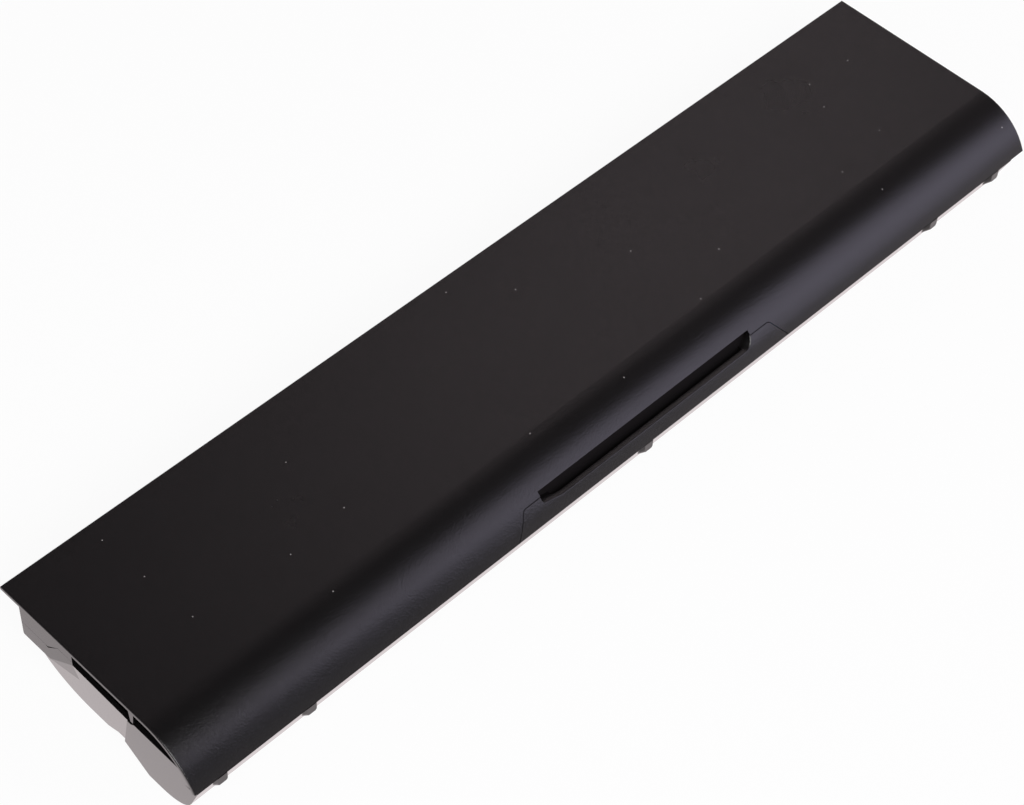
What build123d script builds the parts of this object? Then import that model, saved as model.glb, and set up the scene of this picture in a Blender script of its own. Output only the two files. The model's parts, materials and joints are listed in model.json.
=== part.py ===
from build123d import *
import os
from math import acos, atan2, cos, degrees, pi, radians, sin, sqrt, tan

# Laptop battery: a tray and a cover, moulded in black plastic, closed round six cylindrical cells.
# Millimetres. +X runs along the pack, -Y is the rounded front with the finger grip, +Y the back edge with
# the connector, +Z is up. The origin is under the middle of the whole pack, on the surface it rests on.

# Cells, two rows of them end to end
cell_diameter = 18.3
cell_length = 65.0
columns = 3
row_gap = 0.3
cap_height = 0.3
cap_radius = 4.2
can_edge = 0.6

# Sheet pieces of the cell stack
strip_thickness = 0.15
strip_width = 6.0
arm_width = 3.0
fold_gap = 0.3
foot_length = 3.0
foot_height = 2.0
ring_thickness = 0.2
ring_outer_radius = 8.7
ring_inner_radius = 4.7
pad_thickness = 1.1
pad_margin = 0.15

# Case walls and clearances
wall = 0.75
cell_clearance = 0.1
end_clearance = 0.2
seam_gap = 0.12
skirt_gap = 0.05

# Cover
nose_radius = 13.0
nose_sweep = 65.0
flange_overhang = 4.6
overhang_left = 0.1
overhang_right = 3.4
edge_rounding = 0.25
skirt_depth = 5.0
skirt_short_depth = 2.6
skirt_long_run = 6.7
skirt_slant_run = 2.9
skirt_short_run = 3.6
post_width = 1.3
post_tip_width = 0.6
post_drop = 3.6
post_offset = 3.1

# Tray
lip_run = 2.2
ledge_depth = 8.4
ledge_rounding = 0.3
land_width = 4.3
front_corner_radius = 9.0
groove_depth = 1.9
groove_slope_run = 3.2
slot_drop_back = 3.5
slot_drop_middle = 4.8
slot_drop_front = 3.9
slot_close_angle = 42.5
post_notch_width = 1.0
block_corner_out = 4.3
block_corner_z = 5.0
rear_taper = 2.8
rear_blend_run = 6.5
front_taper = 1.5
right_taper = 1.1
seam_open_run = 0.6
seam_open_drop = 0.3
cradle_rib = 1.0
cradle_inset = 8.0
cradle_height = 4.0

# Finger grip in the nose
grip_center = 0.9
grip_top_width = 62.0
grip_base_width = 68.6
grip_top_drop = 3.8
grip_corner = 1.2
pocket_width = 53.0
pocket_center = 0.5
pocket_top_drop = 3.1
pocket_lip_drop = 5.4
pocket_depth = 1.6
pocket_left_drop = 4.75
pocket_left_run = 4.4
pocket_corner = 2.4
pocket_left_bend = 4.0
pocket_left_corner = 0.5
pocket_lip_rounding = 0.2
pocket_wall = 0.6
pocket_wall_rise = 0.25

# Hooks under the front rim: one in the middle, and two at each end by their distances from it
hook_reach = 0.1
hook_height = 1.9
hook_root_drop = 4.2
hook_width = 2.0
hook_corner = 0.4
hook_insets = [5.35, 23.95]

# Circuit board and what stands on it
board_thickness = 1.0
board_cell_gap = 0.45
board_wall_gap = 0.85
board_top_gap = 0.3
board_end_margin = 9.0
guide_rib = 1.2
guide_inset = 3.0
fit_gap = 0.1
part_margin = 0.5
pin_thickness = 0.2
pin_width = 0.5
pin_reach = 0.6
# Name, length, height and thickness of each part in turn, and the pitch of its pins if it has any
board_parts = [
    ("capacitor_input", 2.0, 1.3, 1.2, None),
    ("gauge_chip", 9.6, 3.2, 1.0, 1.0),
    ("capacitor_gauge", 2.0, 1.3, 1.2, None),
    ("protector_chip", 6.4, 3.2, 1.0, 1.0),
    ("capacitor_cells", 2.0, 1.3, 1.2, None),
    ("charge_transistor", 5.0, 2.8, 1.3, 1.27),
    ("discharge_transistor", 5.0, 2.8, 1.3, 1.27),
    ("sense_resistor", 6.4, 3.2, 0.7, None),
    ("thermal_fuse", 6.0, 3.4, 1.2, None),
]

# Leads from the end strips to the board
lead_diameter = 1.6
lead_gap = 0.05
lead_top_gap = 0.85
lead_lap = 4.0

# Connector
contacts = 9
contact_pitch = 2.0
contact_end_wall = 2.2
connector_height = 5.4
connector_rise = 0.8
connector_reach = 3.6
connector_inset = 26.9
connector_lug = 1.2
connector_lug_thickness = 0.7
slot_width = 1.2
slot_height = 4.0
slot_back_wall = 1.2
contact_thickness = 0.25
contact_gap = 0.05
tail_width = 0.5

# Sizes that follow from those above
cell_radius = cell_diameter / 2
height = 2 * wall + 2 * cell_clearance + cell_diameter
cell_z = wall + cell_clearance + cell_radius
barrel_radius = cell_radius + cell_clearance + wall
row_pitch = cell_diameter + row_gap
joint_length = 2 * strip_thickness + fold_gap
column_pitch = cell_length + joint_length
stack_length = columns * column_pitch - joint_length + 2 * (strip_thickness + pad_thickness)
lid_z = height - wall
pad_web = 2 * (cell_z - groove_depth - wall - pad_margin)
pocket_back_radius = barrel_radius - wall + pocket_wall

# Places along the depth
nose_reach = nose_radius * sin(radians(nose_sweep))
board_space = board_cell_gap + board_thickness + board_wall_gap + wall
depth = hook_reach + nose_reach + row_pitch + cell_radius + board_space + flange_overhang
front_y = -depth / 2
edge_y = depth / 2
row_front_y = front_y + hook_reach + nose_reach
row_rear_y = row_front_y + row_pitch
row_middle_y = (row_front_y + row_rear_y) / 2
back_y = edge_y - flange_overhang
back_inner_y = back_y - wall
slant_y = back_y - skirt_long_run
short_y = slant_y - skirt_slant_run
slot_start_y = short_y - skirt_short_run
post_y = row_front_y + post_offset
board_outer_y = back_inner_y - board_wall_gap
board_inner_y = board_outer_y - board_thickness
nose_z = height - nose_radius

# Places along the length
left_space = rear_taper + wall + end_clearance
right_space = end_clearance + wall + right_taper
tray_length = left_space + stack_length + right_space
length = overhang_left + tray_length + overhang_right
cover_left = -length / 2
tray_left = cover_left + overhang_left
tray_right = tray_left + tray_length
tray_middle = (tray_left + tray_right) / 2
stack_left = tray_left + left_space
first_cell_x = stack_left + pad_thickness + strip_thickness
stack_right = stack_left + stack_length

# Cells and joints between columns
column_x = [first_cell_x + column * column_pitch for column in range(columns)]
joint_x = [x + cell_length for x in column_x[:-1]]
board_left = joint_x[0] - board_end_margin
board_right = joint_x[-1] + joint_length + board_end_margin
connector_center = board_left + connector_inset
hook_x = [tray_left + inset for inset in hook_insets] + [tray_right - inset for inset in hook_insets]
hook_x.append(tray_middle)

# Places up the height
skirt_z = height - skirt_depth
skirt_short_z = height - skirt_short_depth
ledge_z = height - ledge_depth
board_bottom_z = ledge_z + wall
board_top_z = lid_z - board_top_gap
slot_back_z = height - slot_drop_back
grip_top_z = height - grip_top_drop
pocket_top_z = height - pocket_top_drop
pocket_lip_z = height - pocket_lip_drop
pocket_floor_z = pocket_lip_z - pocket_depth
connector_z = board_bottom_z + connector_rise
connector_width = (contacts - 1) * contact_pitch + 2 * contact_end_wall
connector_y = back_y + connector_reach

os.makedirs("parts", exist_ok=True)


def save(piece, name):
    """Label a finished piece and write it to its own file."""
    piece.label = name
    export_step(piece, f"parts/{name}.step")


def on_nose(radius, angle):
    """Point on a circle about the nose's centre, at an angle from the top, in the YZ plane."""
    return row_front_y - radius * sin(radians(angle)), nose_z + radius * cos(radians(angle))


def upright_taper(x, z, run, drop):
    """Plane across the pack that passes x at height z and moves by run over a drop."""
    return Plane(origin=(x, 0, z), x_dir=(0, 1, 0), z_dir=(drop, 0, run))


# The front wall of the tray is a straight flank from its lip, under the nose, down past the front row,
# and a rounded corner joins it to the floor
lip_angle = nose_sweep + degrees(seam_gap / nose_radius)
lip_y, lip_z = on_nose(nose_radius, lip_angle)
lip_distance = sqrt((lip_y - row_front_y) ** 2 + (lip_z - cell_z) ** 2)
lip_direction = atan2(lip_z - cell_z, lip_y - row_front_y)
flank_angle = lip_direction % (2 * pi) + acos(barrel_radius / lip_distance)
corner_shift = (barrel_radius - front_corner_radius) * (1 + sin(flank_angle)) / cos(flank_angle)
front_corner_y = row_front_y + corner_shift
flank_length = (lip_y - front_corner_y) * sin(flank_angle) - (lip_z - front_corner_radius) * cos(flank_angle)


def on_flank(drop, inset):
    """Point on the tray's front flank, a drop below its lip and set in from its surface."""
    down = -drop / cos(flank_angle)
    return (
        lip_y - down * sin(flank_angle) - inset * cos(flank_angle),
        lip_z + down * cos(flank_angle) - inset * sin(flank_angle),
    )


def tray_outline(inset, rise):
    """Closed section of the tray, set in by inset on its outside, its open side raised by rise."""
    radius = barrel_radius - inset
    floor_z = ledge_z + inset
    shelf = atan2(floor_z - cell_z, sqrt(radius**2 - (floor_z - cell_z) ** 2))
    groove_half = row_pitch / 2 - land_width
    miter = inset * tan(atan2(groove_depth, groove_slope_run) / 2)
    flat_half = groove_half - groove_slope_run + miter
    edge_half = groove_half + miter
    lip_inner = on_nose(nose_radius - lip_run, lip_angle)
    with BuildLine() as outline:
        rear = CenterArc((row_rear_y, cell_z), radius, degrees(shelf), -90 - degrees(shelf))
        front = CenterArc(
            (front_corner_y, front_corner_radius),
            front_corner_radius - inset,
            270,
            degrees(flank_angle) - 270,
        )
        flank_top = front @ 1 + Vector(sin(flank_angle), -cos(flank_angle)) * (flank_length + rise)
        Polyline(
            rear @ 1,
            (row_middle_y + edge_half, inset),
            (row_middle_y + flat_half, groove_depth + inset),
            (row_middle_y - flat_half, groove_depth + inset),
            (row_middle_y - edge_half, inset),
            front @ 0,
        )
        Line(front @ 1, flank_top)
        if rise:
            roof = height + rise
            Polyline(flank_top, (flank_top.X, roof), (back_y - inset, roof), (back_y - inset, floor_z))
        else:
            Polyline(flank_top, lip_inner, (back_y, skirt_z - skirt_gap), (back_y, floor_z))
        Line((back_y - inset, floor_z), rear @ 0)
    make_face(outline.edges())


def skirt_outline(drop, mode=Mode.ADD):
    """Section of the cover's left end skirt, or with drop the tray wall's space under it."""
    Polygon(
        (back_y, lid_z),
        (back_y, skirt_z - drop),
        (slant_y, skirt_z - drop),
        (short_y, skirt_short_z - drop),
        (slot_start_y, skirt_short_z - drop),
        (slot_start_y, lid_z),
        align=None,
        mode=mode,
    )


def grip_outline():
    """Trapezoid of the finger grip, seen from the front."""
    base_z = lip_z - wall
    slope = (grip_base_width - grip_top_width) / 2 / (grip_top_z - lip_z)
    base_half = grip_base_width / 2 + slope * (lip_z - base_z)
    outline = Polygon(
        (grip_center - grip_top_width / 2, grip_top_z),
        (grip_center - base_half, base_z),
        (grip_center + base_half, base_z),
        (grip_center + grip_top_width / 2, grip_top_z),
        align=None,
    )
    fillet(outline.vertices().group_by(Axis.Y)[-1], grip_corner)


def connector_window():
    """Opening of the back wall for the connector, seen from the front."""
    with Locations((connector_center, connector_z - fit_gap)):
        Rectangle(
            connector_width + 2 * fit_gap,
            connector_height + 2 * fit_gap,
            align=(Align.CENTER, Align.MIN),
        )


# Where the slot under the cover at the left end closes, on the inside of the nose
slot_end_y, slot_end_z = on_nose(nose_radius - wall - seam_gap, slot_close_angle)


# Top cover: plate and nose in one section, with the back skirt, end skirts and the post at the left end
with BuildPart() as top_cover:
    with BuildSketch(Plane.YZ.offset(cover_left)):
        with BuildLine():
            outer = CenterArc((row_front_y, nose_z), nose_radius, 90, nose_sweep)
            inner = CenterArc((row_front_y, nose_z), nose_radius - wall, 90, nose_sweep)
            Line(outer @ 1, inner @ 1)
            Polyline(inner @ 0, (edge_y, lid_z), (edge_y, height), outer @ 0)
        make_face()
    extrude(amount=length)
    top_rim = top_cover.faces().sort_by(Axis.Z)[-1].edges()
    nose_rim = top_cover.faces().filter_by(GeomType.CYLINDER).sort_by(Axis.Y)[0].edges()
    outer_rim = top_rim.sort_by(Axis.Y)[1:] + nose_rim.filter_by(GeomType.CIRCLE)
    fillet(outer_rim, edge_rounding)
    with BuildSketch(Plane.XZ.offset(-row_front_y)):
        grip_outline()
        with Locations((pocket_center, pocket_top_z)):
            Rectangle(pocket_width, pocket_top_z - pocket_lip_z, align=(Align.CENTER, Align.MAX))
    extrude(amount=nose_radius, mode=Mode.SUBTRACT)
    with BuildSketch(Plane.YZ.offset(tray_left)):
        with Locations((back_y - wall / 2, (lid_z + skirt_z) / 2)):
            Rectangle(wall, lid_z - skirt_z)
    extrude(amount=tray_length)
    with BuildSketch(Plane.YZ.offset(tray_left)):
        skirt_outline(0)
    extrude(amount=wall)
    with BuildSketch(Plane.YZ.offset(tray_right)):
        with Locations(((back_y + row_front_y) / 2, (lid_z + skirt_z) / 2)):
            Rectangle(back_y - row_front_y, lid_z - skirt_z)
    extrude(amount=-wall)
    with BuildSketch(Plane.YZ.offset(tray_left)):
        Polygon(
            (post_y - post_width / 2, lid_z),
            (post_y - post_tip_width / 2, height - post_drop),
            (post_y + post_tip_width / 2, height - post_drop),
            (post_y + post_width / 2, lid_z),
            align=None,
        )
    extrude(amount=wall)
    with BuildSketch(Plane.XZ.offset(-back_y)):
        connector_window()
    extrude(amount=wall, mode=Mode.SUBTRACT)
save(top_cover.part, "top_cover")

# Inside of the tray, with its two leaning ends
with BuildPart() as cavity:
    with BuildSketch(Plane.YZ.offset(tray_left)):
        tray_outline(wall, nose_radius)
    extrude(amount=tray_length)
    split(bisect_by=upright_taper(tray_left + wall, slot_back_z, rear_taper, slot_back_z), keep=Keep.TOP)
    split(bisect_by=upright_taper(tray_right - wall, lid_z, -right_taper, lid_z), keep=Keep.BOTTOM)

# Recess of the left end round the rear row, which leans in from the slot's edge down to the floor
with BuildPart() as rear_recess:
    with BuildSketch(Plane.YZ.offset(tray_left - wall)):
        Polygon(
            (slot_start_y, height),
            (slot_start_y, ledge_z),
            (edge_y, ledge_z),
            (edge_y, -wall),
            (post_y + block_corner_out - block_corner_z - wall, -wall),
            (post_y + block_corner_out, block_corner_z),
            (post_y, height),
            align=None,
        )
    extrude(amount=wall + rear_taper)
    split(bisect_by=upright_taper(tray_left, slot_back_z, rear_taper, slot_back_z), keep=Keep.BOTTOM)

# Slanted facet that blends this recess into the upright end under the skirt
rear_lean = rear_taper / slot_back_z
blend_depth = rear_lean * (slot_back_z - ledge_z)
with BuildPart() as rear_blend:
    with BuildSketch(Plane.YZ.offset(tray_left - wall)):
        Polygon(
            (slot_start_y, slot_back_z),
            (slot_start_y, ledge_z),
            (slot_start_y + rear_blend_run, ledge_z),
            align=None,
        )
    extrude(amount=wall + blend_depth)
    blend_face = Plane(
        origin=(tray_left, slot_start_y, slot_back_z),
        z_dir=(1, blend_depth / rear_blend_run, rear_lean),
    )
    split(bisect_by=blend_face, keep=Keep.BOTTOM)

# Wedges that lean the left end of the front row and the whole right end
with BuildPart() as front_lean:
    with BuildSketch(Plane.XZ.offset(-slot_start_y)):
        Polygon(
            (tray_left, height - slot_drop_front),
            (tray_left + front_taper, 0),
            (tray_left - wall, 0),
            (tray_left - wall, height - slot_drop_front),
            align=None,
        )
    extrude(amount=depth)

with BuildPart() as right_lean:
    with BuildSketch(Plane.XZ.offset(-edge_y)):
        Polygon((tray_right, lid_z), (tray_right - right_taper, 0), (tray_right + wall, 0), align=None)
    extrude(amount=depth)

# Skin of the finger grip, and the pocket behind its slot
with BuildPart() as grip_skin:
    with BuildSketch(Plane.YZ.offset(grip_center - grip_base_width / 2 - wall)):
        with BuildLine():
            outer = CenterArc((row_front_y, nose_z), nose_radius, 90, lip_angle)
            inner = CenterArc((row_front_y, nose_z), nose_radius - wall, 90, lip_angle)
            Line(outer @ 1, inner @ 1)
            Line(outer @ 0, inner @ 0)
        make_face()
    extrude(amount=grip_base_width + 2 * wall)
    with BuildSketch(Plane.XZ.offset(-row_front_y)):
        grip_outline()
        offset(amount=-seam_gap, kind=Kind.INTERSECTION, mode=Mode.REPLACE)
    extrude(amount=nose_radius, mode=Mode.INTERSECT)

with BuildPart() as pocket_box:
    box_width = pocket_width + 2 * wall
    box_layers = [
        (nose_radius - wall / 2, grip_top_z - seam_gap),
        (nose_radius - wall - seam_gap, pocket_top_z + pocket_wall_rise),
    ]
    for reach, top_z in box_layers:
        with BuildSketch(Plane.YZ.offset(pocket_center - box_width / 2)):
            with Locations((row_front_y, nose_z)):
                Circle(reach)
            Polygon(
                (row_front_y, pocket_floor_z - wall),
                (row_front_y, top_z),
                (front_y, top_z),
                (front_y, pocket_floor_z - wall),
                align=None,
                mode=Mode.INTERSECT,
            )
            with Locations((row_front_y, cell_z)):
                Circle(barrel_radius - wall, mode=Mode.SUBTRACT)
        extrude(amount=box_width)

with BuildPart() as pocket:
    with BuildSketch(Plane.XZ.offset(-row_front_y)) as mouth:
        Polygon(
            (pocket_center - pocket_width / 2, height),
            (pocket_center - pocket_width / 2, height - pocket_left_drop),
            (pocket_center - pocket_width / 2 + pocket_left_run, pocket_lip_z),
            (pocket_center + pocket_width / 2, pocket_lip_z),
            (pocket_center + pocket_width / 2, height),
            align=None,
        )
        fillet(mouth.vertices().group_by(Axis.Y)[0].sort_by(Axis.X)[0], pocket_left_bend)
        fillet(mouth.vertices().sort_by(Axis.X)[:2].sort_by(Axis.Y)[0], pocket_left_corner)
        fillet(mouth.vertices().group_by(Axis.Y)[0].sort_by(Axis.X)[-1], pocket_corner)
    extrude(amount=nose_radius)
    trench_width = pocket_width - 2 * pocket_corner
    with BuildSketch(Plane.YZ.offset(pocket_center - trench_width / 2)):
        with Locations((row_front_y, nose_z)):
            Circle(nose_radius - wall)
        Polygon(
            (row_front_y, pocket_floor_z),
            (row_front_y, grip_top_z),
            (front_y, grip_top_z),
            (front_y, pocket_floor_z),
            align=None,
            mode=Mode.INTERSECT,
        )
    extrude(amount=trench_width)
    with BuildSketch(Plane.YZ.offset(pocket_center - pocket_width / 2)):
        with Locations((row_front_y, cell_z)):
            Circle(pocket_back_radius)
    extrude(amount=pocket_width, mode=Mode.SUBTRACT)

# Hook: a tab flush with the rim, its underside sloping back to the flank
with BuildPart() as hook:
    with BuildSketch(Plane.YZ.offset(-hook_width / 2)):
        Polygon(
            on_nose(nose_radius - wall / 2, lip_angle),
            (lip_y, lip_z),
            (front_y, lip_z),
            (front_y, lip_z - hook_height),
            on_flank(hook_root_drop, 0),
            on_flank(hook_root_drop, wall / 2),
            align=None,
        )
    extrude(amount=hook_width)
    underside = hook.faces().filter_by(lambda face: face.normal_at().Y < 0 and face.normal_at().Z < 0)
    fillet(underside.sort_by(SortBy.AREA)[-1].edges().filter_by(Axis.X, reverse=True), hook_corner)

# Bottom tray
with BuildPart() as bottom_tray:
    with BuildSketch(Plane.YZ.offset(tray_left)):
        tray_outline(0, 0)
    extrude(amount=tray_length)
    ledge_edge = bottom_tray.edges().filter_by(Axis.X).group_by(Axis.Y)[-1].sort_by(Axis.Z)[:1]
    fillet(ledge_edge, ledge_rounding)
    with BuildSketch(Plane.YZ.offset(tray_left)):
        Polygon(
            (back_y, board_bottom_z),
            (back_y, lid_z),
            (slot_start_y, lid_z),
            (slot_start_y, slot_back_z),
            (post_y + post_notch_width / 2, height - slot_drop_middle),
            (post_y - post_notch_width / 2, height - slot_drop_front),
            (slot_end_y, slot_end_z),
            (row_front_y, cell_z),
            align=None,
        )
        skirt_outline(skirt_gap, Mode.SUBTRACT)
        Polygon(
            (slant_y + seam_open_run, skirt_z - skirt_gap),
            (slant_y, skirt_z - skirt_gap - seam_open_drop),
            (short_y, skirt_short_z - skirt_gap),
            align=None,
            mode=Mode.SUBTRACT,
        )
        with BuildLine():
            nose_edge = CenterArc(
                (row_front_y, nose_z),
                nose_radius - wall - seam_gap,
                90 + slot_close_angle,
                lip_angle - slot_close_angle,
            )
            Polyline(nose_edge @ 1, (row_front_y, cell_z), nose_edge @ 0)
        make_face()
    extrude(amount=left_space)
    with BuildSketch(Plane.YZ.offset(tray_right)):
        with BuildLine():
            right_edge = CenterArc((row_front_y, nose_z), nose_radius - wall - seam_gap, 90, lip_angle)
            Polyline(
                right_edge @ 1,
                (row_front_y, cell_z),
                (back_y, board_bottom_z),
                (back_y, skirt_z - skirt_gap),
                (row_front_y, skirt_z - skirt_gap),
                right_edge @ 0,
            )
        make_face()
    extrude(amount=-right_space)
    add(cavity.part, mode=Mode.SUBTRACT)
    add(rear_recess.part, mode=Mode.SUBTRACT)
    add(rear_blend.part, mode=Mode.SUBTRACT)
    add(front_lean.part, mode=Mode.SUBTRACT)
    add(right_lean.part, mode=Mode.SUBTRACT)
    add(grip_skin.part)
    add(pocket_box.part)
    add(pocket.part, mode=Mode.SUBTRACT)
    grip_face = bottom_tray.faces().filter_by(GeomType.CYLINDER).filter_by(
        lambda face: face.radius > nose_radius - seam_gap
    )
    pocket_lip = grip_face.edges().filter_by(
        lambda edge: edge.center().Z > pocket_lip_z - seam_gap
        and all(abs(corner.X - pocket_center) < pocket_width / 2 + seam_gap for corner in edge.vertices())
    )
    fillet(pocket_lip, pocket_lip_rounding)
    with Locations(*[(x, 0, 0) for x in hook_x]):
        add(hook.part)
    with BuildSketch(Plane.XZ.offset(-back_y)):
        connector_window()
    extrude(amount=wall, mode=Mode.SUBTRACT)
    with BuildSketch(Plane.XZ.offset(-back_inner_y)):
        for x in (board_left + guide_inset, board_right - guide_inset):
            with Locations((x, board_bottom_z - wall / 2)):
                Rectangle(
                    guide_rib,
                    skirt_z - skirt_gap - board_bottom_z + wall / 2,
                    align=(Align.CENTER, Align.MIN),
                )
    extrude(amount=board_wall_gap - fit_gap)
    for x in column_x:
        for rib_x in (x + cradle_inset, x + cell_length - cradle_inset):
            with BuildSketch(Plane.YZ.offset(rib_x - cradle_rib / 2)):
                with Locations((row_middle_y, groove_depth + wall / 2)):
                    Rectangle(row_pitch, cradle_height, align=(Align.CENTER, Align.MIN))
                with Locations((row_front_y, cell_z), (row_rear_y, cell_z)):
                    Circle(cell_radius + cell_clearance, mode=Mode.SUBTRACT)
            extrude(amount=cradle_rib)
save(bottom_tray.part, "bottom_tray")

# Cells: drawn cans with a rounded shoulder and a raised cap at the positive end, which points to +X
rows = [("front", row_front_y), ("rear", row_rear_y)]
places = ["left", "middle", "right"]
shoulder = cell_length - cap_height
for row, y in rows:
    for place, x in zip(places, column_x):
        with BuildPart() as cell:
            with BuildSketch(Plane((x, y, cell_z), x_dir=(1, 0, 0), z_dir=(0, -1, 0))):
                with BuildLine():
                    Polyline(
                        (0, 0),
                        (0, cell_radius),
                        (shoulder - can_edge, cell_radius),
                        (shoulder, cell_radius - can_edge),
                        (shoulder, cap_radius),
                        (cell_length, cap_radius),
                        (cell_length, 0),
                        close=True,
                    )
                make_face()
            revolve(axis=Axis((x, y, cell_z), (1, 0, 0)))
        save(cell.part, f"cell_{row}_{place}")

        with BuildPart() as ring:
            with BuildSketch(Plane.YZ.offset(x + shoulder)):
                with Locations((y, cell_z)):
                    Circle(ring_outer_radius)
                    Circle(ring_inner_radius, mode=Mode.SUBTRACT)
            extrude(amount=ring_thickness)
        save(ring.part, f"insulating_ring_{row}_{place}")

# Leads lie along the back, at the height where the end strips reach them
lead_y = board_inner_y - lead_gap - lead_diameter / 2
lead_z = lid_z - lead_top_gap - lead_diameter / 2


def strip_face(end_y, end_z):
    """Face of a nickel strip across both rows, with an arm from the rear cell to a point."""
    with Locations((row_middle_y, cell_z)):
        Rectangle(row_pitch + strip_width, strip_width)
    SlotCenterPoint(
        ((row_rear_y + end_y) / 2, (cell_z + end_z) / 2),
        (end_y, end_z),
        arm_width,
    )


# End strips: one leaf each, whose arm ends at a lead
end_strips = [
    ("strip_negative_end", first_cell_x - strip_thickness),
    ("strip_positive_end", stack_right - pad_thickness - strip_thickness),
]
for name, x in end_strips:
    with BuildPart() as end_strip:
        with BuildSketch(Plane.YZ.offset(x)):
            strip_face(lead_y, lead_z)
        extrude(amount=strip_thickness)
    save(end_strip.part, name)

# Tap strips: two leaves folded at the lower edge, and an arm with a foot on the board
foot_z = board_top_z - part_margin - foot_height / 2
for name, x in zip(["strip_lower_tap", "strip_upper_tap"], joint_x):
    with BuildPart() as tap_strip:
        with BuildSketch(Plane.YZ.offset(x)):
            strip_face(board_inner_y - arm_width / 2, foot_z)
            with Locations((board_inner_y - arm_width / 4, foot_z)):
                Rectangle(arm_width / 2, foot_height)
        extrude(amount=strip_thickness)
        with BuildSketch(Plane.YZ.offset(x + joint_length)):
            with Locations((row_middle_y, cell_z)):
                Rectangle(row_pitch + strip_width, strip_width)
        extrude(amount=-strip_thickness)
        with BuildSketch(Plane.YZ.offset(x)):
            with Locations((row_middle_y, cell_z - strip_width / 2)):
                Rectangle(row_pitch, strip_thickness, align=(Align.CENTER, Align.MIN))
        extrude(amount=joint_length)
        with BuildSketch(Plane.XZ.offset(-board_inner_y)):
            with Locations((x, foot_z)):
                Rectangle(foot_length, foot_height, align=(Align.MIN, Align.CENTER))
        extrude(amount=strip_thickness)
    save(tap_strip.part, name)

# Foam pads over the two end strips: a disc for each row and a web between them
for name, x in (("end_pad_left", stack_left), ("end_pad_right", stack_right - pad_thickness)):
    with BuildPart() as end_pad:
        with BuildSketch(Plane.YZ.offset(x)):
            with Locations((row_front_y, cell_z), (row_rear_y, cell_z)):
                Circle(ring_outer_radius)
            with Locations((row_middle_y, cell_z)):
                Rectangle(row_pitch, pad_web)
        extrude(amount=pad_thickness)
    save(end_pad.part, name)

# Leads from the end strips to the board's two ends
lead_spans = [
    ("lead_negative", first_cell_x, board_left + lead_lap),
    ("lead_positive", board_right - lead_lap, stack_right - pad_thickness - strip_thickness),
]
for name, start, end in lead_spans:
    with BuildPart() as lead:
        with BuildSketch(Plane.YZ.offset(start)):
            with Locations((lead_y, lead_z)):
                Circle(lead_diameter / 2)
        extrude(amount=end - start)
    save(lead.part, name)

# Circuit board, standing on the tray's ledge
with BuildPart() as circuit_board:
    with BuildSketch(Plane.XZ.offset(-board_outer_y)):
        with Locations(((board_left + board_right) / 2, board_bottom_z)):
            Rectangle(
                board_right - board_left,
                board_top_z - board_bottom_z,
                align=(Align.CENTER, Align.MIN),
            )
    extrude(amount=board_thickness)
save(circuit_board.part, "circuit_board")

# Parts on the board's inner face, spread evenly in a row between the feet of the two tap strips
parts_length = sum(part_length for _, part_length, *_ in board_parts)
part_spacing = (column_pitch - foot_length - parts_length) / (len(board_parts) + 1)
part_x = joint_x[0] + foot_length + part_spacing
for name, part_length, part_height, thickness, pin_pitch in board_parts:
    center_x = part_x + part_length / 2
    center_z = board_top_z - part_margin - pin_reach - part_height / 2
    with BuildPart() as component:
        with BuildSketch(Plane.XZ.offset(-board_inner_y)):
            with Locations((center_x, center_z)):
                Rectangle(part_length, part_height)
        extrude(amount=thickness)
        if pin_pitch:
            chamfer(component.faces().sort_by(Axis.Y)[0].edges(), pin_thickness)
            with BuildSketch(Plane.XZ.offset(-board_inner_y)):
                with Locations((center_x, center_z)):
                    with GridLocations(pin_pitch, part_height, round(part_length / pin_pitch), 2):
                        Rectangle(pin_width, 2 * pin_reach)
            extrude(amount=pin_thickness)
    save(component.part, name)
    part_x += part_length + part_spacing

# Connector housing: a block through the back wall, held by its wider foot inside, with a slot per contact
contact_places = [connector_center + (i - (contacts - 1) / 2) * contact_pitch for i in range(contacts)]
slot_z = connector_z + connector_height / 2
slot_end_depth = board_outer_y + slot_back_wall
with BuildPart() as connector_housing:
    with BuildSketch(Plane.XZ.offset(-connector_y)):
        with Locations((connector_center, slot_z)):
            Rectangle(connector_width, connector_height)
    extrude(amount=connector_y - board_outer_y)
    with BuildSketch(Plane.XZ.offset(-board_outer_y)):
        with Locations((connector_center, slot_z)):
            Rectangle(connector_width + 2 * connector_lug, connector_height)
    extrude(amount=-connector_lug_thickness)
    with BuildSketch(Plane.XZ.offset(-connector_y)):
        with Locations(*[(x, slot_z) for x in contact_places]):
            Rectangle(slot_width, slot_height)
    extrude(amount=connector_y - slot_end_depth, mode=Mode.SUBTRACT)
    with BuildSketch(Plane.XZ.offset(-connector_y)):
        with Locations(*[(x, slot_z) for x in contact_places]):
            Rectangle(tail_width + 2 * contact_gap, tail_width + 2 * contact_gap)
    extrude(amount=connector_y - board_outer_y, mode=Mode.SUBTRACT)
    chamfer(connector_housing.faces().sort_by(Axis.Y)[-1].outer_wire().edges(), contact_thickness)
save(connector_housing.part, "connector_housing")

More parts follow.
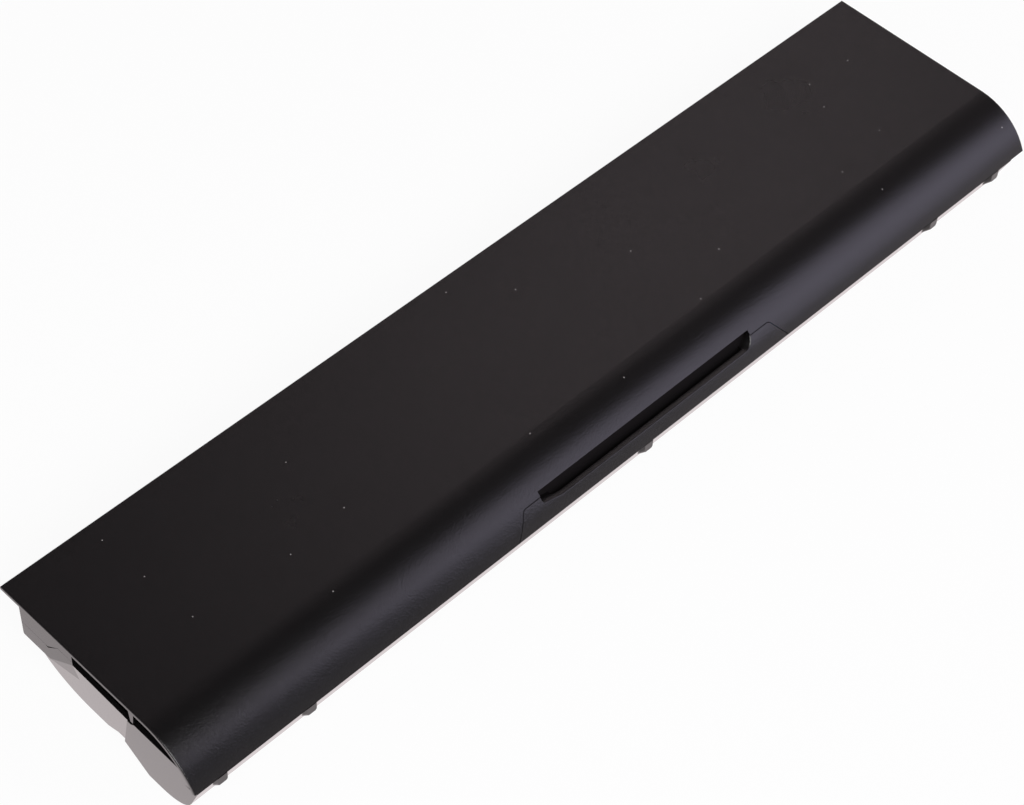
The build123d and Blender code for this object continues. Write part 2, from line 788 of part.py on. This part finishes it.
# Contacts: a fork of two blades in each slot, on a base with a tail to the board
fork_half = slot_width / 2 - contact_gap
fork_height = slot_height - 2 * contact_gap
for number, x in enumerate(contact_places, start=1):
    with BuildPart() as contact:
        with BuildSketch(Plane.XY.offset(slot_z - fork_height / 2)):
            with BuildLine():
                Polyline(
                    (x - fork_half, slot_end_depth),
                    (x - fork_half, connector_y - contact_end_wall / 2),
                    (x - fork_half + contact_thickness, connector_y - contact_end_wall / 2),
                    (x - fork_half + contact_thickness, slot_end_depth + contact_thickness),
                    (x + fork_half - contact_thickness, slot_end_depth + contact_thickness),
                    (x + fork_half - contact_thickness, connector_y - contact_end_wall / 2),
                    (x + fork_half, connector_y - contact_end_wall / 2),
                    (x + fork_half, slot_end_depth),
                    close=True,
                )
            make_face()
        extrude(amount=fork_height)
        with BuildSketch(Plane.XZ.offset(-slot_end_depth)):
            with Locations((x, slot_z)):
                Rectangle(tail_width, tail_width)
        extrude(amount=slot_back_wall)
    save(contact.part, f"contact_{number}")
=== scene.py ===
import json
from math import radians, sin

import bmesh
import bpy
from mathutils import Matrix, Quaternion

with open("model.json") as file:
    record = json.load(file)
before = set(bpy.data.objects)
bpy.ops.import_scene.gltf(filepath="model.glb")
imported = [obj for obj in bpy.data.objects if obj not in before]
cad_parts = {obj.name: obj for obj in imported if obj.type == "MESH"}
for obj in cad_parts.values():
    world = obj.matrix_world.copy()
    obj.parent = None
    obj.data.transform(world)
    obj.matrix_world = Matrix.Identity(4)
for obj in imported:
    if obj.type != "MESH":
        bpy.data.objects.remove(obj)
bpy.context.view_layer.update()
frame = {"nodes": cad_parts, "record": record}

# Laptop battery in black plastic on a white table. Metres, in the frame of the solids.
scene = bpy.context.scene
scene.view_settings.view_transform = "Standard"

# Camera: where it stands, how it is turned, and its lens
CAMERA_PLACE = (-0.22378, -0.19406, 0.35377)
CAMERA_TURN = (39.925, -2.194, -44.945)
LENS_MM = 89.68
SENSOR_MM = 36.0
NEAREST_SEEN = 0.01

# Studio: light of the room by height above the table in degrees, and its lamps
ROOM_LIGHT = [
    (0, (0.43, 0.41, 0.46)),
    (25, (0.043, 0.041, 0.044)),
    (45, (0.21, 0.18, 0.19)),
    (60, (0.075, 0.068, 0.07)),
    (90, (0.005, 0.005, 0.005)),
]
# Name, place, width, height, roll in degrees, watts and tint
LAMPS = [
    ("key_lamp", (-0.55, -0.78, 1.0), 0.8, 0.8, 0, 18.0, (1.0, 1.0, 1.0)),
    ("front_softbox", (0.455, -0.532, 0.388), 0.49, 0.6, 22, 1.54, (0.84, 0.79, 1.0)),
    ("rear_softbox", (0.439, 0.329, 0.583), 0.1, 0.447, -42, 0.18, (1.0, 0.86, 0.89)),
]
TABLE_HALF = 4.0
TABLE_WHITE = (0.9, 0.9, 0.9, 1.0)
TABLE_GLOW = 0.93
# How the table shows to the eye and in the object's gloss: its tint, warm in reflections as a painted
# tint, where in reflections it dims towards the front as painted shade, and its level there from left
# to right, also painted shade
TABLE_SEEN = (1.0, 1.0, 1.0)
TABLE_PAINTED_REFLECTION_TINT = (1.0, 0.91, 0.92)
TABLE_PAINTED_SHADE_FRONT = {"From Min": -0.04, "From Max": -0.09}
TABLE_PAINTED_SHADE_LEVEL = {"From Min": -0.12, "From Max": 0.2, "To Min": 0.1, "To Max": 0.6}

# Places in the solids' frame that two materials need: the finger slot's back wall, where shade is
# painted, and the chips' pins
GRIP_POCKET = {
    "middle": 0.0005,
    "half": 0.0277,
    "axis_y": -0.011759,
    "axis_z": 0.01,
    "radius": 0.0104,
    "z": 0.0128,
}
BOARD_FACE_Y = 0.016441
PIN_TOP = 0.0003


def new_node(tree, kind, sockets=None, **settings):
    """Add a shader node, set its options and the values of its named inputs."""
    node = tree.nodes.new(kind)
    for name, value in settings.items():
        setattr(node, name, value)
    for name, value in (sockets or {}).items():
        node.inputs[name].default_value = value
    return node


def new_group(name, inputs, outputs):
    """Start a shader node group with float inputs and outputs, and return it with its two ends."""
    tree = bpy.data.node_groups.new(name, "ShaderNodeTree")
    for socket, value in inputs.items():
        item = tree.interface.new_socket(socket, in_out="INPUT", socket_type="NodeSocketFloat")
        item.default_value = value
    for socket in outputs:
        tree.interface.new_socket(socket, in_out="OUTPUT", socket_type="NodeSocketFloat")
    return tree, tree.nodes.new("NodeGroupInput"), tree.nodes.new("NodeGroupOutput")


def make_grain_group():
    """Moulded grain: a fine height for the bump and a broad cloud for tone and gloss."""
    tree, ends_in, ends_out = new_group(
        "moulded_grain", {"Grain Scale": 3000.0, "Cloud Scale": 40.0}, ["Height", "Cloud"]
    )
    place = new_node(tree, "ShaderNodeTexCoord")
    grain = new_node(tree, "ShaderNodeTexNoise", {"Detail": 2.0, "Roughness": 0.6})
    cloud = new_node(tree, "ShaderNodeTexNoise", {"Detail": 4.0, "Roughness": 0.55})
    link = tree.links.new
    link(place.outputs["Object"], grain.inputs["Vector"])
    link(place.outputs["Object"], cloud.inputs["Vector"])
    link(ends_in.outputs["Grain Scale"], grain.inputs["Scale"])
    link(ends_in.outputs["Cloud Scale"], cloud.inputs["Scale"])
    link(grain.outputs["Fac"], ends_out.inputs["Height"])
    link(cloud.outputs["Fac"], ends_out.inputs["Cloud"])
    return tree


def make_dust_group():
    """Stray specks of dust: one spot in some of the cells of a loose pattern."""
    tree, ends_in, ends_out = new_group(
        "dust_specks", {"Scale": 90.0, "Speck": 0.009, "Share": 0.1}, ["Mask"]
    )
    place = new_node(tree, "ShaderNodeTexCoord")
    cells = new_node(tree, "ShaderNodeTexVoronoi", feature="F1", voronoi_dimensions="2D")
    chance = new_node(tree, "ShaderNodeSeparateColor")
    near = new_node(tree, "ShaderNodeMath", operation="LESS_THAN")
    chosen = new_node(tree, "ShaderNodeMath", operation="LESS_THAN")
    both = new_node(tree, "ShaderNodeMath", operation="MULTIPLY")
    link = tree.links.new
    link(place.outputs["Object"], cells.inputs["Vector"])
    link(ends_in.outputs["Scale"], cells.inputs["Scale"])
    link(cells.outputs["Distance"], near.inputs[0])
    link(ends_in.outputs["Speck"], near.inputs[1])
    link(cells.outputs["Color"], chance.inputs["Color"])
    link(chance.outputs["Red"], chosen.inputs[0])
    link(ends_in.outputs["Share"], chosen.inputs[1])
    link(near.outputs["Value"], both.inputs[0])
    link(chosen.outputs["Value"], both.inputs[1])
    link(both.outputs["Value"], ends_out.inputs["Mask"])
    return tree


def make_texture_side_group():
    """Mask of the faces that look upwards, which the mould textures. Steep faces stay smooth."""
    tree, ends_in, ends_out = new_group("textured_side", {"Edge": 0.22, "Softness": 0.14}, ["Mask"])
    place = new_node(tree, "ShaderNodeTexCoord")
    axes = new_node(tree, "ShaderNodeSeparateXYZ")
    top = new_node(tree, "ShaderNodeMath", operation="ADD")
    span = new_node(tree, "ShaderNodeMapRange", interpolation_type="SMOOTHSTEP")
    link = tree.links.new
    link(place.outputs["Normal"], axes.inputs["Vector"])
    link(ends_in.outputs["Edge"], top.inputs[0])
    link(ends_in.outputs["Softness"], top.inputs[1])
    link(axes.outputs["Z"], span.inputs["Value"])
    link(ends_in.outputs["Edge"], span.inputs["From Min"])
    link(top.outputs["Value"], span.inputs["From Max"])
    link(span.outputs["Result"], ends_out.inputs["Mask"])
    return tree


def make_end_face_group():
    """Mask of the faces that look along the pack, as the bare ends of cells and wires do."""
    tree, ends_in, ends_out = new_group("end_faces", {"Edge": 0.75}, ["Mask"])
    place = new_node(tree, "ShaderNodeTexCoord")
    axes = new_node(tree, "ShaderNodeSeparateXYZ")
    size = new_node(tree, "ShaderNodeMath", operation="ABSOLUTE")
    facing = new_node(tree, "ShaderNodeMath", operation="GREATER_THAN")
    link = tree.links.new
    link(place.outputs["Normal"], axes.inputs["Vector"])
    link(axes.outputs["X"], size.inputs[0])
    link(size.outputs["Value"], facing.inputs[0])
    link(ends_in.outputs["Edge"], facing.inputs[1])
    link(facing.outputs["Value"], ends_out.inputs["Mask"])
    return tree


GRAIN = make_grain_group()
END_FACES = make_end_face_group()
TEXTURED = make_texture_side_group()
DUST = make_dust_group()


def use_group(tree, group, **values):
    """Place a node group in a material with its own values."""
    node = tree.nodes.new("ShaderNodeGroup")
    node.node_tree = group
    for name, value in values.items():
        node.inputs[name.replace("_", " ")].default_value = value
    return node


def new_material(name, sockets):
    """Start a material with a Principled shader, whose plain values are set on its own sockets."""
    material = bpy.data.materials.new(name)
    material.use_nodes = True
    shader = material.node_tree.nodes["Principled BSDF"]
    for socket, value in sockets.items():
        shader.inputs[socket].default_value = value
    return material, material.node_tree, shader


def times(tree, first, second):
    """Product of two sockets."""
    node = new_node(tree, "ShaderNodeMath", operation="MULTIPLY")
    tree.links.new(first, node.inputs[0])
    tree.links.new(second, node.inputs[1])
    return node.outputs["Value"]


def slot_painted_shade_mask(tree):
    """Mask of the back wall of the finger slot, by its distance from the front row's axis, where shade
    is painted.
    """
    link = tree.links.new
    place = new_node(tree, "ShaderNodeTexCoord")
    axes = new_node(tree, "ShaderNodeSeparateXYZ")
    link(place.outputs["Object"], axes.inputs["Vector"])
    axis = (GRIP_POCKET["axis_y"], GRIP_POCKET["axis_z"])
    flat = new_node(tree, "ShaderNodeCombineXYZ")
    reach = new_node(tree, "ShaderNodeVectorMath", {1: (0.0, *axis)}, operation="DISTANCE")
    link(axes.outputs["Y"], flat.inputs["Y"])
    link(axes.outputs["Z"], flat.inputs["Z"])
    link(flat.outputs["Vector"], reach.inputs[0])
    aside = new_node(tree, "ShaderNodeMath", {1: GRIP_POCKET["middle"]}, operation="SUBTRACT")
    away = new_node(tree, "ShaderNodeMath", operation="ABSOLUTE")
    link(axes.outputs["X"], aside.inputs[0])
    link(aside.outputs["Value"], away.inputs[0])
    limits = [
        (reach.outputs["Value"], "LESS_THAN", GRIP_POCKET["radius"]),
        (away.outputs["Value"], "LESS_THAN", GRIP_POCKET["half"]),
        (axes.outputs["Z"], "GREATER_THAN", GRIP_POCKET["z"]),
    ]
    masks = []
    for value, operation, limit in limits:
        test = new_node(tree, "ShaderNodeMath", {1: limit}, operation=operation)
        link(value, test.inputs[0])
        masks.append(test.outputs["Value"])
    near, between, above = masks
    return times(tree, times(tree, near, between), above)


def mix_number(tree, mask, first, second):
    """Mix two numbers, each a value or a socket, by a mask and return the result's socket."""
    mix = new_node(tree, "ShaderNodeMix", data_type="FLOAT")
    tree.links.new(mask, mix.inputs["Factor"])
    for socket, value in (("A", first), ("B", second)):
        if isinstance(value, float):
            mix.inputs[socket].default_value = value
        else:
            tree.links.new(value, mix.inputs[socket])
    return mix.outputs["Result"]


def mix_color(tree, mask, first, second):
    """Mix two colours, each three values or a socket, by a mask and return the result's socket."""
    mix = new_node(tree, "ShaderNodeMix", data_type="RGBA")
    tree.links.new(mask, mix.inputs["Factor"])
    for socket, value in (("A", first), ("B", second)):
        if isinstance(value, tuple):
            mix.inputs[socket].default_value = (*value, 1.0)
        else:
            tree.links.new(value, mix.inputs[socket])
    return mix.outputs["Result"]


def map_number(tree, mask, low, high):
    """Spread a mask from 0 to 1 over two values and return the result's socket."""
    span = new_node(tree, "ShaderNodeMapRange", {"To Min": low, "To Max": high})
    tree.links.new(mask, span.inputs["Value"])
    return span.outputs["Result"]


def add_bump(tree, shader, height, distance):
    """Drive the shader's normal by a height."""
    bump = new_node(tree, "ShaderNodeBump", {"Strength": 1.0, "Distance": distance})
    tree.links.new(height, bump.inputs["Height"])
    tree.links.new(bump.outputs["Normal"], shader.inputs["Normal"])


# Case plastic: its two tones, dust, grain and how rough each kind of face is
CASE_DARK = (0.0027, 0.0025, 0.0026)
CASE_LIGHT = (0.0041, 0.0037, 0.0039)
DUST_GREY = (0.45, 0.43, 0.42)
# Painted shade on the slot's back wall: made a dark metal, it reflects no more than this and stands in
# for the shade inside the slot
SLOT_PAINTED_SHADE = (0.014, 0.0125, 0.0125)
SLOT_ROUGH = 0.6
SATIN_ROUGH = (0.24, 0.29)
SMOOTH_ROUGH = 0.09
CASE_GRAIN = 3400.0
CASE_CLOUD = 45.0
CASE_BUMP = 0.00005
# How many times broader than its grain the cloud of a plain surface is
CLOUD_STEP = 12


def case_plastic(name, dust_share, sockets, paint_slot_shade):
    """Black moulded plastic: satin and grained on its upper faces, smooth elsewhere, with some dust,
    and painted shade on the finger slot's back wall when asked.
    """
    material, tree, shader = new_material(name, sockets)
    link = tree.links.new
    grain = use_group(tree, GRAIN, Grain_Scale=CASE_GRAIN, Cloud_Scale=CASE_CLOUD)
    textured = use_group(tree, TEXTURED).outputs["Mask"]
    dust = use_group(tree, DUST, Share=dust_share).outputs["Mask"]
    tone = mix_color(tree, grain.outputs["Cloud"], CASE_DARK, CASE_LIGHT)
    tone = mix_color(tree, times(tree, dust, textured), tone, DUST_GREY)
    satin = map_number(tree, grain.outputs["Cloud"], *SATIN_ROUGH)
    rough = mix_number(tree, textured, SMOOTH_ROUGH, satin)
    if paint_slot_shade:
        # Painted shade: the slot's back wall becomes a dark, dull metal
        slot_shade = slot_painted_shade_mask(tree)
        tone = mix_color(tree, slot_shade, tone, SLOT_PAINTED_SHADE)
        rough = mix_number(tree, slot_shade, rough, SLOT_ROUGH)
        link(slot_shade, shader.inputs["Metallic"])
    link(tone, shader.inputs["Base Color"])
    link(rough, shader.inputs["Roughness"])
    add_bump(tree, shader, times(tree, grain.outputs["Height"], textured), CASE_BUMP)
    return material


def plain_surface(name, dark, light, rough_range, scale, bump, sockets, ends):
    """Even surface with fine relief: tone and roughness follow a cloud. Ends can be of bare metal."""
    material, tree, shader = new_material(name, sockets)
    link = tree.links.new
    grain = use_group(tree, GRAIN, Grain_Scale=scale, Cloud_Scale=scale / CLOUD_STEP)
    tone = mix_color(tree, grain.outputs["Cloud"], dark, light)
    rough = map_number(tree, grain.outputs["Cloud"], *rough_range)
    if ends:
        facing = use_group(tree, END_FACES).outputs["Mask"]
        tone = mix_color(tree, facing, tone, ends)
        link(facing, shader.inputs["Metallic"])
    link(tone, shader.inputs["Base Color"])
    link(rough, shader.inputs["Roughness"])
    add_bump(tree, shader, grain.outputs["Height"], bump)
    return material


# Chips: resin with tinned pins
RESIN_DARK = (0.018, 0.018, 0.02)
RESIN_LIGHT = (0.03, 0.03, 0.033)
RESIN_ROUGH = (0.5, 0.7)
RESIN_GRAIN = 4000.0
RESIN_CLOUD = 400.0
RESIN_BUMP = 0.00001
PIN_TIN = (0.72, 0.72, 0.7)
PIN_ROUGH = 0.3


def chip_resin(name):
    """Black moulded resin whose pins and underside, next to the board, are tinned metal."""
    material, tree, shader = new_material(name, {"IOR": 1.55})
    link = tree.links.new
    grain = use_group(tree, GRAIN, Grain_Scale=RESIN_GRAIN, Cloud_Scale=RESIN_CLOUD)
    place = new_node(tree, "ShaderNodeTexCoord")
    axes = new_node(tree, "ShaderNodeSeparateXYZ")
    tinned = new_node(tree, "ShaderNodeMath", {1: BOARD_FACE_Y - PIN_TOP}, operation="GREATER_THAN")
    link(place.outputs["Object"], axes.inputs["Vector"])
    link(axes.outputs["Y"], tinned.inputs[0])
    mask = tinned.outputs["Value"]
    resin = mix_color(tree, grain.outputs["Cloud"], RESIN_DARK, RESIN_LIGHT)
    link(mix_color(tree, mask, resin, PIN_TIN), shader.inputs["Base Color"])
    link(mask, shader.inputs["Metallic"])
    rough = map_number(tree, grain.outputs["Cloud"], *RESIN_ROUGH)
    link(mix_number(tree, mask, rough, PIN_ROUGH), shader.inputs["Roughness"])
    add_bump(tree, shader, grain.outputs["Height"], RESIN_BUMP)
    return material


materials = {
    "cover_plastic": case_plastic("cover_plastic", 0.3, {"IOR": 1.58}, False),
    "tray_plastic": case_plastic("tray_plastic", 0.0, {"IOR": 1.6}, True),
    "chip_resin": chip_resin("chip_resin"),
}
NICKEL = (0.62, 0.59, 0.53)
COPPER = (0.8, 0.42, 0.26)
TIN = (0.7, 0.7, 0.68)
METAL = {"Metallic": 1.0}
# Name, two tones and range of roughness,
# then grain scale, grain height, the shader's plain values and the metal of bare ends
SURFACES = [
    ("cell_sleeve", (0.03, 0.15, 0.24), (0.045, 0.2, 0.31), (0.2, 0.34),
     500.0, 0.00001, {"IOR": 1.53}, NICKEL),
    ("ring_fibre", (0.62, 0.59, 0.49), (0.78, 0.75, 0.65), (0.75, 0.9),
     3000.0, 0.00003, {}, None),
    ("strip_nickel", NICKEL, (0.74, 0.71, 0.65), (0.22, 0.36),
     2200.0, 0.000006, METAL, None),
    ("pad_foam", (0.012, 0.012, 0.012), (0.03, 0.03, 0.03), (0.85, 0.98),
     2400.0, 0.0002, {}, None),
    ("board_laminate", (0.006, 0.07, 0.03), (0.012, 0.12, 0.05), (0.3, 0.44),
     1500.0, 0.000015, {}, None),
    ("connector_plastic", (0.008, 0.008, 0.009), (0.015, 0.015, 0.016), (0.36, 0.5),
     3600.0, 0.00002, {}, None),
    ("contact_brass", (0.78, 0.55, 0.2), (0.9, 0.68, 0.32), (0.2, 0.34),
     5000.0, 0.000004, METAL, None),
    ("capacitor_ceramic", (0.36, 0.25, 0.14), (0.5, 0.37, 0.23), (0.45, 0.6),
     6000.0, 0.00001, {}, TIN),
    ("fuse_resin", (0.7, 0.7, 0.66), (0.82, 0.82, 0.79), (0.3, 0.45),
     3000.0, 0.00001, {}, None),
    ("lead_black", (0.01, 0.01, 0.01), (0.018, 0.018, 0.018), (0.4, 0.55),
     1800.0, 0.00001, {}, COPPER),
    ("lead_red", (0.4, 0.015, 0.012), (0.52, 0.025, 0.02), (0.4, 0.55),
     1800.0, 0.00001, {}, COPPER),
]
for surface in SURFACES:
    materials[surface[0]] = plain_surface(*surface)

for entry in frame["record"]["subparts"]:
    node = frame["nodes"][entry["node"]]
    node.data.materials.clear()
    node.data.materials.append(materials[entry["material_slot"]])


def make_table():
    """White table, to the eye and in reflections, with the object's own soft shadow on it, and painted
    shade and a painted warm tint where it shows in reflections.
    """
    mesh = bpy.data.meshes.new("table")
    sheet = bmesh.new()
    bmesh.ops.create_grid(sheet, x_segments=1, y_segments=1, size=TABLE_HALF)
    sheet.to_mesh(mesh)
    sheet.free()
    table = bpy.data.objects.new("table", mesh)
    scene.collection.objects.link(table)
    material = bpy.data.materials.new("table_white")
    material.use_nodes = True
    tree = material.node_tree
    tree.nodes.clear()
    link = tree.links.new
    paper = new_node(tree, "ShaderNodeBsdfDiffuse", {"Color": TABLE_WHITE})
    glow = new_node(tree, "ShaderNodeEmission")
    rays = new_node(tree, "ShaderNodeLightPath")
    seen = new_node(tree, "ShaderNodeMath", operation="MAXIMUM")
    clear = new_node(tree, "ShaderNodeMath", operation="MAXIMUM")
    share = new_node(tree, "ShaderNodeMath", {1: TABLE_GLOW}, operation="MULTIPLY")
    mix = new_node(tree, "ShaderNodeMixShader")
    out = new_node(tree, "ShaderNodeOutputMaterial")
    place = new_node(tree, "ShaderNodeTexCoord")
    axes = new_node(tree, "ShaderNodeSeparateXYZ")
    link(place.outputs["Object"], axes.inputs["Vector"])
    # Painted shade: in reflections the table dims towards the front and differs from left to right
    forward = new_node(tree, "ShaderNodeMapRange", TABLE_PAINTED_SHADE_FRONT)
    far = new_node(tree, "ShaderNodeMapRange", TABLE_PAINTED_SHADE_LEVEL)
    link(axes.outputs["Y"], forward.inputs["Value"])
    link(axes.outputs["X"], far.inputs["Value"])
    mirrored_painted_shade = mix_number(tree, forward.outputs["Result"], 1.0, far.outputs["Result"])
    # Painted tint: in reflections the table shows warm
    glossy = rays.outputs["Is Glossy Ray"]
    link(mix_number(tree, glossy, 1.0, mirrored_painted_shade), glow.inputs["Strength"])
    link(mix_color(tree, glossy, TABLE_SEEN, TABLE_PAINTED_REFLECTION_TINT), glow.inputs["Color"])
    link(rays.outputs["Is Camera Ray"], seen.inputs[0])
    link(glossy, seen.inputs[1])
    link(seen.outputs["Value"], clear.inputs[0])
    link(rays.outputs["Is Transmission Ray"], clear.inputs[1])
    link(clear.outputs["Value"], share.inputs[0])
    link(share.outputs["Value"], mix.inputs["Fac"])
    link(paper.outputs["BSDF"], mix.inputs[1])
    link(glow.outputs["Emission"], mix.inputs[2])
    link(mix.outputs["Shader"], out.inputs["Surface"])
    mesh.materials.append(material)


def make_room():
    """Room light by height, and plain white where the camera looks past the table."""
    world = bpy.data.worlds.new("studio_room")
    world.use_nodes = True
    scene.world = world
    tree = world.node_tree
    tree.nodes.clear()
    link = tree.links.new
    place = new_node(tree, "ShaderNodeTexCoord")
    axes = new_node(tree, "ShaderNodeSeparateXYZ")
    ramp = new_node(tree, "ShaderNodeValToRGB")
    stops = ramp.color_ramp.elements
    for _ in ROOM_LIGHT[2:]:
        stops.new(1.0)
    for stop, (angle, light) in zip(stops, ROOM_LIGHT):
        stop.position = sin(radians(angle))
        stop.color = (*light, 1.0)
    room = new_node(tree, "ShaderNodeBackground")
    white = new_node(tree, "ShaderNodeBackground", {"Color": (1.0, 1.0, 1.0, 1.0)})
    rays = new_node(tree, "ShaderNodeLightPath")
    mix = new_node(tree, "ShaderNodeMixShader")
    out = new_node(tree, "ShaderNodeOutputWorld")
    link(place.outputs["Generated"], axes.inputs["Vector"])
    link(axes.outputs["Z"], ramp.inputs["Fac"])
    link(ramp.outputs["Color"], room.inputs["Color"])
    link(rays.outputs["Is Camera Ray"], mix.inputs["Fac"])
    link(room.outputs["Background"], mix.inputs[1])
    link(white.outputs["Background"], mix.inputs[2])
    link(mix.outputs["Shader"], out.inputs["Surface"])


def make_lamp(name, place, width, height, roll, watts, tint):
    """Rectangular soft lamp that faces the object, rolled about the line to it."""
    lamp = bpy.data.lights.new(name, "AREA")
    lamp.shape = "RECTANGLE"
    lamp.size, lamp.size_y = width, height
    lamp.energy = watts
    lamp.color = tint
    stand = bpy.data.objects.new(name, lamp)
    stand.location = place
    facing = (-stand.location).to_track_quat("-Z", "Y")
    stand.rotation_euler = (facing @ Quaternion((0.0, 0.0, 1.0), radians(roll))).to_euler()
    scene.collection.objects.link(stand)


make_table()
make_room()
for lamp_values in LAMPS:
    make_lamp(*lamp_values)

camera_data = bpy.data.cameras.new("camera")
camera_data.lens = LENS_MM
camera_data.sensor_width = SENSOR_MM
camera_data.clip_start = NEAREST_SEEN
camera = bpy.data.objects.new("camera", camera_data)
camera.location = CAMERA_PLACE
camera.rotation_euler = [radians(angle) for angle in CAMERA_TURN]
scene.collection.objects.link(camera)
scene.camera = camera
